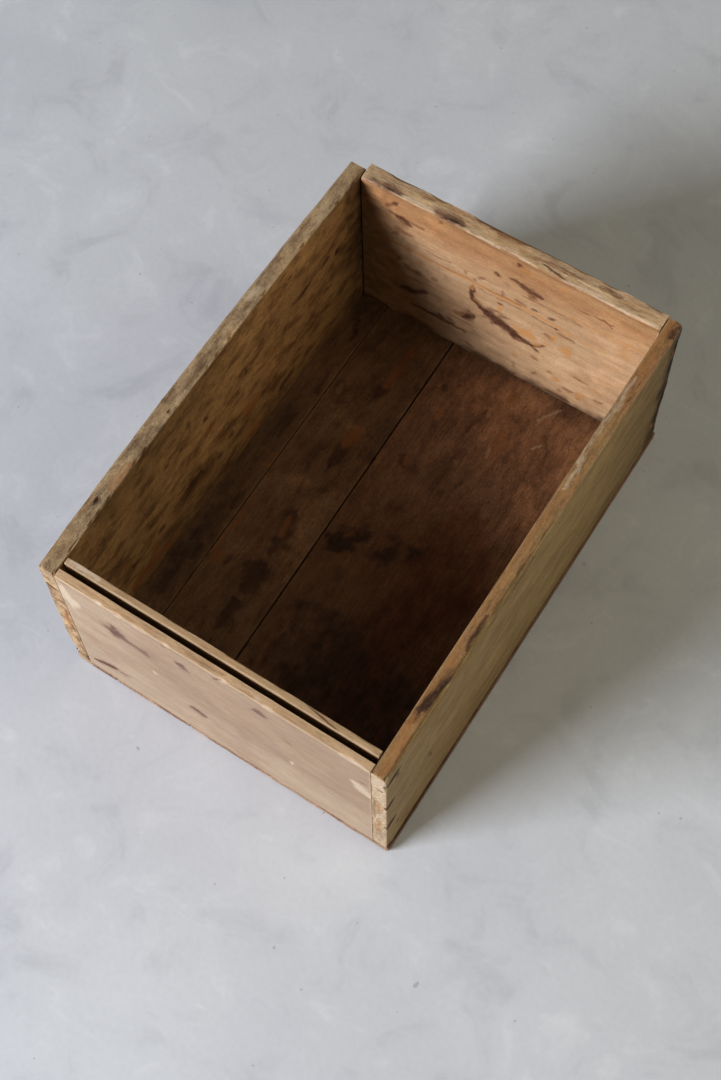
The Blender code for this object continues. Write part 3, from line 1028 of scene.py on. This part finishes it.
RIGHT_OUTER = {
    "dark": [
        # The first three dark strokes are painted shade filling the splits.
        (7, 1.3, -4, 197, 20, 197), (7, 1.3, -4, 137, 12, 137), (7, 1.3, -4, 77, 15, 77),
        (6, 1, -2, 16, 6, 16), (10, 0.9, 493, 208, 497, 176, 490, 140),
        (10, 0.9, 496, 116, 490, 74, 495, 30),
    ],
    "stain": [
        (4, 0.9, 71, 108, 74, 92), (22, 1, 490, 210, 493, 160, 489, 118),
        (22, 1, 492, 122, 488, 60, 491, 14), (7, 0.7, 160, 205, 240, 207),
    ],
    "rust": [(5, 0.8, 489, 195, 492, 170), (5, 0.8, 484, 60, 488, 40)],
    "warm": [(40, 0.3, 90, 60, 200, 60)],
    # A painted light patch near the far top; below, darker along the foot and at the far end.
    "painted_light": [(46, 0.5, 376, 190, 392, 184)],
    "grime_and_shade": [(30, 0.25, 0, 22, 501, 22), (22, 0.75, 498, 210, 498, 15)],
}

RIGHT_END = {
    "dark": [(2.5, 0.8, 340, 181, 346, 180), (3, 0.8, 348, 196, 350, 188)],
    "stain": [(4, 0.8, 337, 150, 337, 90)],
    "rust": [(6, 0.7, 341, 148, 342, 112), (8, 0.8, 341, 88, 341, 56)],
    "pale": [(9, 0.8, 342, 206, 342, 186)],
    "cool": [(12, 0.6, 345, 62, 342, 30)],
}

RIGHT_TOP = {
    "dark": [
        (3.5, 0.9, 70, 346, 92, 347), (4, 0.9, 130, 346, 168, 346), (7, 1, 52, 342, 68, 342),
        (7, 1.1, 64, 344, 84, 346, 104, 348), (6, 1, 482, 347, 494, 348),
    ],
    "stain": [
        (4, 1, 20, 346, 45, 347), (4, 0.9, 210, 347, 222, 346), (4, 0.9, 250, 347, 272, 347),
        (3, 0.8, 404, 344, 412, 346), (13, 1, 48, 342, 108, 346),
    ],
    "rust": [(12, 0.8, -2, 341, 58, 342), (9, 0.6, 60, 338, 300, 337), (9, 0.9, 440, 338, 502, 338)],
    "pale": [(5, 0.6, 300, 339, 430, 339)],
    "warm": [(16, 0.5, 400, 341, 502, 341)],
}

FAR_INNER = {
    "dark": [
        (5, 0.9, 58, 203, 53, 199), (7, 0.95, 57, 182, 72, 177), (6, 0.9, 189, 206, 194, 202),
        (5, 0.85, 168, 171, 172, 170), (5, 0.85, 182, 176, 200, 176), (8, 0.95, 196, 173, 218, 171),
        (4, 0.8, 144, 146, 147, 144), (3.5, 0.8, 206, 145, 214, 145), (4, 0.85, 226, 143, 233, 146),
        (4, 0.9, 235, 133, 236, 130), (5, 0.95, 143, 130, 142, 116, 146, 107),
        (8, 1.1, 144, 110, 152, 101, 166, 94, 182, 88, 198, 83, 214, 81),
        (16, 1.2, 153, 101, 168, 94, 186, 88), (11, 1.1, 180, 89, 204, 82),
        (3.5, 0.9, 209, 81, 219, 86, 228, 94), (5, 0.85, 215, 78, 221, 77),
        (4.5, 0.85, 173, 128, 176, 126), (7, 1, 64, 65, 76, 69, 92, 78),
        (8, 1, 134, 70, 142, 73, 147, 78), (4, 1, 75, 44, 104, 45, 140, 44), (5, 0.95, 106, 52, 112, 46),
    ],
    "stain": [
        (5, 0.9, 53, 199, 45, 190), (5, 1, 48, 184, 86, 183), (7, 0.8, 55, 161, 75, 160),
        (6, 0.9, 52, 150, 60, 153), (4, 0.9, 194, 202, 202, 197), (5, 0.9, 204, 163, 214, 164),
        (4, 0.8, 103, 207, 106, 210), (3.5, 1, 279, 187, 290, 178), (4, 0.8, 134, 151, 134, 146),
        (4, 0.9, 149, 151, 156, 154), (3.5, 0.8, 176, 150, 178, 143), (4, 0.9, 190, 146, 202, 145),
        (12, 1, 146, 108, 160, 98, 188, 87, 212, 81), (6, 1, 143, 132, 142, 116, 148, 105),
        (7, 0.8, 160, 108, 172, 112), (6, 0.8, 176, 104, 182, 108), (5, 0.9, 225, 114, 236, 112),
        (6, 0.9, 98, 108, 104, 111), (7, 0.9, 56, 116, 62, 114), (7, 0.9, 68, 109, 82, 104),
        (9, 0.9, 124, 74, 140, 73), (6, 0.8, 138, 80, 140, 84), (5, 0.9, 116, 54, 126, 50),
        (9, 0.7, 60, 18, 82, 19), (4, 0.7, 222, 38, 218, 32), (4, 0.7, 246, 30, 250, 26),
        (4, 0.7, 268, 30, 272, 34), (5, 0.7, 196, 36, 200, 28), (5, 0.7, 140, 26, 150, 22),
        (2.6, 0.8, 20, 136, 90, 138, 196, 139), (6, 0.9, 150, 14, 200, 16), (5, 0.8, 232, 18, 262, 17),
        (2.4, 1, 112, 139, 150, 139, 196, 141), (2.2, 0.9, 150, 133, 196, 134, 238, 132),
        (2.2, 0.9, 86, 150, 118, 152), (2.2, 0.9, 196, 159, 240, 160, 262, 158),
        (2.2, 0.9, 250, 182, 292, 184), (3, 1, 172, 110, 188, 108), (3, 1, 238, 127, 256, 126),
        (2.6, 0.9, 62, 92, 86, 90), (2.6, 0.9, 120, 62, 152, 60), (3, 0.9, 262, 66, 280, 65),
        (4, 0.9, 214, 62, 222, 60), (4, 0.9, 234, 54, 240, 53), (5, 0.9, 286, 46, 298, 45),
        (5, 0.9, 252, 36, 262, 37),
    ],
    "rust": [
        (5, 0.7, 192, 203, 203, 197), (4, 0.8, 233, 203, 241, 204), (3.5, 0.8, 244, 131, 246, 129),
        (4, 0.7, 143, 133, 142, 124), (3.5, 0.7, 146, 112, 152, 106), (5, 0.8, 174, 124, 174, 114),
        (14, 0.9, 203, 94, 210, 106), (9, 0.85, 192, 99, 204, 95), (14, 0.85, 242, 104, 256, 108),
        (6, 0.75, 237, 119, 234, 108), (6, 0.75, 213, 85, 222, 92), (5, 0.7, 226, 98, 232, 100),
        (4, 0.8, 211, 113), (11, 0.7, 266, 42, 276, 38), (8, 0.7, 240, 48, 250, 44),
        (5, 0.8, 286, 61, 292, 60), (6, 0.7, 194, 52, 200, 48),
        (3.5, 0.8, 20, 137, 110, 137, 200, 139, 290, 134), (3, 0.7, 225, 164, 280, 165, 330, 167),
        (11, 0.5, 308, 160, 312, 142),
    ],
    "cool": [(5, 0.8, 178, 164, 184, 163)],
    "warm": [(30, 0.35, 40, 196, 140, 190, 330, 196)],
    # Painted light on the lit right side and lower middle; painted shade, partly dirt, for the left wall's
    # cast shadow, along the floor and along the top edge.
    "painted_light": [
        (44, 0.35, 302, 196, 296, 84), (26, 0.4, 96, 200, 104, 200),
        (50, 0.35, 170, 62, 244, 60, 250, 24),
    ],
    "grime_and_shade": [
        (14, 0.85, 17, 13, 335, 13), (46, 0.6, 26, 190, 26, 13), (54, 0.55, 56, 124, 84, 50, 134, 16),
        (5, 0.3, 40, 212, 335, 212),
    ],
}

FAR_TOP = {
    "dark": [(3.5, 0.9, 104, 485, 122, 487), (3, 0.8, 34, 485, 52, 487), (2.5, 0.9, 210, 491, 240, 486)],
    "stain": [
        (7, 1.2, 24, 486, 60, 488), (8, 1.2, 98, 486, 128, 488), (4, 0.9, 200, 494, 252, 497),
        (5, 0.8, 150, 500, 185, 499), (5, 0.8, 265, 497, 290, 498), (4, 0.8, 75, 497, 92, 498),
    ],
    "pale": [(6, 0.6, 64, 486, 96, 486), (6, 0.6, 130, 486, 200, 486), (6, 0.6, 235, 486, 330, 486)],
    "cool": [
        (13, 1.4, 22, 486, 62, 487), (12, 1.4, 98, 486, 128, 487),
        (9, 0.8, 17, 502, 120, 503, 240, 502, 335, 503),
    ],
}

FAR_OUTER = {
    "dark": [(6, 0.9, 142, 150, 160, 152), (5, 0.8, 300, 60, 312, 58)],
    "stain": [(12, 0.9, 70, 60, 110, 64), (9, 0.8, 210, 96, 250, 92)],
    "rust": [(10, 0.8, 270, 160, 286, 158)],
    "cool": [(14, 0.6, 60, 180, 90, 176)],
    # Darker along the foot.
    "grime_and_shade": [(10, 0.5, 17, 13, 335, 13)],
}

NEAR_OUTER = {
    "dark": [
        # The first dark stroke is painted shade filling the slit.
        (4, 1.8, 25, 31.5, 38, 37.5, 54, 44), (16, 0.85, 66, 161, 82, 158),
        (12, 0.75, 144, 181, 153, 178), (10, 0.7, 222, 187, 233, 190), (11, 0.8, 143, 71, 157, 74),
        (3, 0.8, 182, 204, 188, 213),
    ],
    "stain": [
        (7, 1.1, 25, 31, 38, 37.5, 56, 45), (11, 0.8, 86, 156, 104, 151), (20, 0.6, 58, 164, 92, 158),
        (4, 1, 57, 40, 72, 47), (2.4, 0.8, 18, 210, 34, 209), (4, 0.8, 128, 210, 131, 207),
        (7, 0.6, 326, 172, 328, 168), (5, 0.5, 248, 158, 256, 150),
    ],
    "rust": [(6, 0.5, 316, 118, 318, 113)],
    "pale": [
        (15, 1, 24, 196, 26, 178, 30, 158), (12, 1, 318, 160, 334, 146), (4, 0.9, 107, 113, 109, 108),
        (4, 0.9, 252, 104, 252, 97), (2.6, 0.9, 61, 213, 66, 213), (3, 0.9, 80, 211, 87, 213),
        (2.6, 0.8, 98, 213, 113, 212), (2.6, 0.8, 130, 213, 136, 212), (4, 0.9, 187, 207, 193, 213),
        (2.6, 0.8, 229, 213, 241, 213), (3, 0.8, 305, 212, 331, 213),
    ],
    "cool": [
        (16, 0.9, 64, 157, 100, 156), (9, 0.7, 104, 155, 116, 155), (10, 0.95, 144, 181, 152, 178),
        (9, 0.95, 220, 186, 234, 190), (11, 1, 142, 70, 156, 74), (6, 0.6, 160, 72, 180, 66),
        (16, 0.45, 168, 112, 184, 122), (60, 0.35, 70, 120, 150, 150), (50, 0.35, 190, 60, 240, 120),
        (50, 0.3, 290, 80, 316, 150),
    ],
    "warm": [(40, 0.25, 30, 110, 60, 70), (40, 0.2, 140, 30, 220, 30)],
}

NEAR_TOP = {
    "stain": [(3, 0.7, 150, 5, 190, 5)],
    "rust": [(5, 0.6, 40, 4, 120, 4), (5, 0.5, 240, 4, 290, 4)],
    "pale": [(4, 0.8, 222, 3, 226, 3)],
}

INNER_TOP = {
    "dark": [(1.8, 0.9, 258, 21, 295, 15)],
    "rust": [(5, 0.5, 120, 18, 200, 18)],
    "pale": [(5, 0.8, 20, 18, 52, 18)],
    "cool": [(6, 0.7, 73, 18, 80, 18)],
}

INNER_BACK = {
    "dark": [(6, 0.9, 210, 70, 226, 72)],
    "stain": [(10, 0.8, 80, 120, 112, 118), (8, 0.8, 262, 150, 284, 148)],
    # Darker along the foot.
    "grime_and_shade": [(14, 0.5, 17, 13, 335, 13)],
}

FLOOR_EDGE = {
    "dark": [(4, 0.8, 92, 8, 128, 7), (4, 0.7, 278, 9, 306, 9)],
    "stain": [(6, 0.9, 20, 4, 74, 5), (5, 0.9, 150, 3, 196, 4)],
    "pale": [(13, 1.4, -2, 6, 13, 6), (4, 0.9, 226, 8, 262, 7), (5, 0.9, 318, 4, 350, 5)],
    # Darker along its top rim.
    "grime_and_shade": [(5, 0.5, -2, 11, 352, 11)],
}

FLOOR_LEFT = {
    "dark": [(7, 0.9, 140, 38, 160, 37), (7, 0.85, 156, 23, 174, 24), (6, 0.9, 430, 37, 444, 36)],
    "stain": [
        (9, 0.9, 95, 32, 125, 31), (6, 0.9, 296, 37, 330, 34), (7, 0.9, 440, 34, 458, 32),
        (8, 0.9, 206, 40, 228, 40), (8, 0.9, 360, 38, 384, 37),
    ],
    "rust": [(7, 0.8, 262, 44, 280, 43)],
    # Painted shade, partly dirt, in the far corner and along the left wall.
    "grime_and_shade": [(30, 0.5, 452, 26, 488, 26), (26, 0.55, 90, 24, 200, 26), (20, 0.4, 200, 24, 330, 26)],
}

FLOOR_MIDDLE = {
    "dark": [
        (10, 1.2, 95, 98, 126, 99), (14, 1.2, 142, 100, 171, 100), (15, 1.2, 186, 101, 206, 101, 236, 96),
        (13, 1.1, 302, 98, 336, 99), (12, 1.1, 386, 97, 408, 98), (7, 0.9, 154, 67, 166, 68),
    ],
    "stain": [
        (4, 0.9, 288, 99, 300, 99), (6, 0.9, 270, 101, 273, 112), (6, 0.8, 224, 64, 236, 64),
        (12, 0.8, 362, 60, 386, 58), (5, 0.7, 96, 112, 108, 108), (5, 0.7, 84, 86, 94, 84),
        (6, 0.7, 280, 80, 320, 76), (5, 0.7, 430, 122, 440, 124),
    ],
    "rust": [
        (6, 1, 206, 98, 228, 95), (11, 1, 324, 98, 352, 99), (9, 1.1, 400, 98, 456, 98),
        (9, 0.9, 150, 54, 166, 56), (6, 0.85, 160, 50, 205, 50, 240, 47),
    ],
    "pale": [(5, 0.35, 370, 58, 384, 57)],
    # Painted light on patches where light reaches the floor; the darker patches are partly dirt and partly
    # painted shade.
    "painted_light": [(44, 0.8, 170, 76, 262, 76), (40, 0.9, 176, 118, 256, 114), (36, 0.8, 352, 76, 366, 76)],
    "grime_and_shade": [(44, 0.3, 340, 122, 362, 120), (50, 0.4, 436, 76, 436, 124), (30, 0.4, 30, 80, 70, 100)],
}

FLOOR_RIGHT = {
    "dark": [
        (21, 1.3, 230, 155, 246, 157), (6, 1, 247, 169, 256, 170), (15, 0.9, 242, 198, 254, 197),
        (9, 0.9, 254, 221, 262, 220), (13, 1, 337, 157, 344, 158), (3, 0.9, 443, 162, 447, 163),
    ],
    "stain": [
        (26, 1, 228, 156, 254, 158), (22, 1.2, 238, 198, 256, 197), (15, 1, 250, 220, 264, 220),
        (5, 0.9, 431, 152, 440, 151), (4, 0.9, 456, 211, 464, 214),
        (4, 0.9, 395, 194, 412, 196, 435, 199), (5, 0.8, 316, 212, 336, 206), (9, 0.9, 85, 156, 122, 157),
        (7, 0.9, 126, 163, 160, 154), (9, 0.8, 250, 223, 262, 226),
        (3, 0.8, 410, 276, 426, 272, 440, 262), (10, 0.8, 280, 176, 300, 180),
        (9, 0.8, 196, 168, 212, 166), (8, 0.7, 370, 200, 384, 204),
    ],
    "rust": [
        (5, 0.6, 240, 154, 250, 157), (6, 0.8, 338, 160, 346, 160), (7, 0.9, 401, 163, 409, 163),
        (6, 1, 454, 211, 464, 214), (18, 0.5, 400, 236, 420, 224), (5, 0.7, 472, 188),
    ],
    "pale": [
        (3, 0.5, 452, 248, 474, 262), (2.5, 0.5, 388, 226, 404, 222), (2.5, 0.5, 420, 258, 430, 264),
    ],
    "cool": [(7, 0.8, 326, 252, 336, 250), (6, 0.8, 360, 244, 364, 236), (16, 0.6, 468, 286, 478, 258)],
    "warm": [
        (38, 1, 80, 256, 160, 250, 240, 242, 330, 236), (22, 1, 80, 256, 160, 251, 236, 243),
        (22, 1, 190, 268, 230, 276, 266, 284), (18, 1, 266, 284, 300, 266, 330, 252),
    ],
    # Painted light on the far part of the floor where light reaches it; painted shade, partly dirt, in the
    # near right corner, across the near part and along the right wall.
    "painted_light": [(70, 1, 446, 180, 462, 250), (66, 0.9, 370, 300, 456, 300)],
    "grime_and_shade": [
        (14, 0.5, 80, 213, 112, 223, 152, 238), (110, 0.9, 20, 326, 110, 300),
        (90, 0.75, 40, 204, 160, 214), (40, 0.4, 345, 180, 352, 222), (12, 0.4, 24, 330, 484, 330),
    ],
}


# ---------------------------------------------------------------- nails

HEAD_DENTS = 0.06  # in mm


def make_nail(node, material):
    """A wire nail with a rough, slightly dished head."""
    top, way, length, head = nail_place(node)
    profile = [
        (0, -0.12),
        (head * 0.55, -0.10),
        (head * 0.86, 0.0),
        (head, -0.18),
        (head * 0.99, -0.7),
        (head * 0.86, -1.0),
        (SHANK * 1.15, -1.1),
        (SHANK, -1.8),
        (SHANK, POINT - length),
        (0, -length),
    ]
    points, faces = turned(profile, NAIL_SIDES)
    seed = sum(ord(letter) for letter in node)
    on_head = points[:, 2] > -0.5
    points[:, 2] += HEAD_DENTS * noise(points, (1.6, 1.6, 50), seed) * on_head
    points[:, 2] = np.minimum(points[:, 2], 0)
    piece = mesh_object(node + "_rusty", along_nail(points, top, way), faces)
    piece.data.shade_smooth()
    piece.data.set_sharp_from_angle(angle=math.radians(45))
    piece.data.materials.append(material)
    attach(piece, "root")
    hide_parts(node)


# ---------------------------------------------------------------- floor, light and camera

GROUND_REACH = 30.0  # in metres
GROUND_COLOURS = ((0.555, 0.56, 0.57), (0.595, 0.60, 0.605))

# The ground's patterns: bumps to the metre, detail, roughness, distortion and seed.
GROUND_PATTERNS = {
    "wide": ((4.0, 4.0, 4.0), 3.0, 0.55, 0.4, 0.0),
    "cloud": ((15.0, 15.0, 15.0), 6.0, 0.62, 0.9, 4.0),
    "scuff": ((14.0, 60.0, 20.0), 5.0, 0.7, 1.5, 9.0),
    "grain": ((170.0, 170.0, 170.0), 3.0, 0.6, 0.0, 13.0),
    "speck": ((105.0, 105.0, 105.0), 1.0, 0.5, 0.0, 17.0),
}

# How they tone it: the pattern, where it begins and is full, its strength and its factor.
GROUND_TONES = (
    ("cloud", 0.50, 0.74, 0.8, (0.84, 0.84, 0.85)),
    ("cloud", 0.46, 0.28, 0.8, (1.13, 1.13, 1.12)),
    ("scuff", 0.58, 0.74, 0.5, (1.12, 1.12, 1.11)),
    ("grain", 0.30, 0.70, 0.5, (0.93, 0.93, 0.93)),
    ("speck", 0.775, 0.80, 0.6, (0.55, 0.53, 0.50)),
)


def add_ground():
    """A pale floor, clouded like old concrete, with faint scuffs and a few dark specks."""
    size = GROUND_REACH
    corners = [(-size, -size, 0), (size, -size, 0), (size, size, 0), (-size, size, 0)]
    ground = mesh_object("ground", np.array(corners), [(0, 1, 2, 3)])
    graph = Graph("pale_ground")
    patterns = {name: graph.noise(*settings) for name, settings in GROUND_PATTERNS.items()}
    color = graph.mix(graph.span(patterns["wide"], 0.34, 0.66), *GROUND_COLOURS)
    for pattern, start, full, strength, factor in GROUND_TONES:
        color = graph.tone(color, graph.span(patterns[pattern], start, full, 0.0, strength), factor)
    graph.feed(graph.shader.inputs["Base Color"], color)
    graph.shader.inputs["Roughness"].default_value = 0.75
    graph.shader.inputs["Specular IOR Level"].default_value = 0.25
    ground.data.materials.append(graph.material)


def add_area_light(name, azimuth, elevation, away, size, power, color):
    """A soft rectangular light that faces the crate. Azimuth 0 is in front of it and 90 at its right."""
    turn, rise = math.radians(azimuth), math.radians(elevation)
    flat = math.cos(rise)
    way = Vector((flat * math.sin(turn), -flat * math.cos(turn), math.sin(rise)))
    lamp = bpy.data.lights.new(name, "AREA")
    lamp.shape = "RECTANGLE"
    lamp.size, lamp.size_y = size
    lamp.energy = power
    lamp.color = color
    holder = bpy.data.objects.new(name, lamp)
    holder.location = (CAD_LOW + CAD_HIGH) / 2 + way * away
    holder.rotation_mode = "QUATERNION"
    holder.rotation_quaternion = way.to_track_quat("Z", "Y")
    bpy.context.scene.collection.objects.link(holder)


# Name, azimuth and elevation in degrees, distance and size in metres, power in watts, colour.
LAMPS = (
    ("window", -30.3, 26.3, 4.0, (1.86, 0.97), 270.0, (0.82, 0.86, 0.96)),
    ("fill", 105.0, 36.0, 2.5, (2.2, 2.4), 24.0, (1.0, 0.94, 0.74)),
)
SKY_COLOR = (1.0, 0.96, 0.86, 1.0)
SKY_STRENGTH = 0.10


def add_light():
    for lamp in LAMPS:
        add_area_light(*lamp)
    world = bpy.data.worlds.new("soft_sky")
    world.use_nodes = True
    back = world.node_tree.nodes["Background"]
    back.inputs["Color"].default_value = SKY_COLOR
    back.inputs["Strength"].default_value = SKY_STRENGTH
    bpy.context.scene.world = world


CAMERA_PLACE = Vector((0.39491, -0.59316, 1.55445))
CAMERA_RIGHT = Vector((0.84329, 0.53721, -0.01602))
CAMERA_BACK = Vector((0.23737, -0.34553, 0.90789))
CAMERA_LENS = 58.138
CAMERA_SENSOR = 36.0


def add_camera():
    camera = bpy.data.cameras.new("camera")
    camera.lens = CAMERA_LENS
    camera.sensor_width = CAMERA_SENSOR
    camera.sensor_fit = "AUTO"
    holder = bpy.data.objects.new("camera", camera)
    back = CAMERA_BACK.normalized()
    right = (CAMERA_RIGHT - back * CAMERA_RIGHT.dot(back)).normalized()
    up = back.cross(right)
    turn = Matrix((right, up, back)).transposed().to_4x4()
    holder.matrix_world = Matrix.Translation(CAMERA_PLACE) @ turn
    bpy.context.scene.collection.objects.link(holder)
    bpy.context.scene.camera = holder


def main():
    boards = [left_board(), right_board(), far_board(), near_board(), inner_board()]
    for number, marks in ((1, FLOOR_LEFT), (2, FLOOR_MIDDLE), (3, FLOOR_RIGHT)):
        boards.append(floor_board(number, marks))
    for board in boards:
        make_board(board)
    rusty = iron()
    for node in nails(""):
        make_nail(node, rusty)
    add_ground()
    add_light()
    add_camera()
    bpy.context.scene.view_settings.view_transform = "Standard"


main()
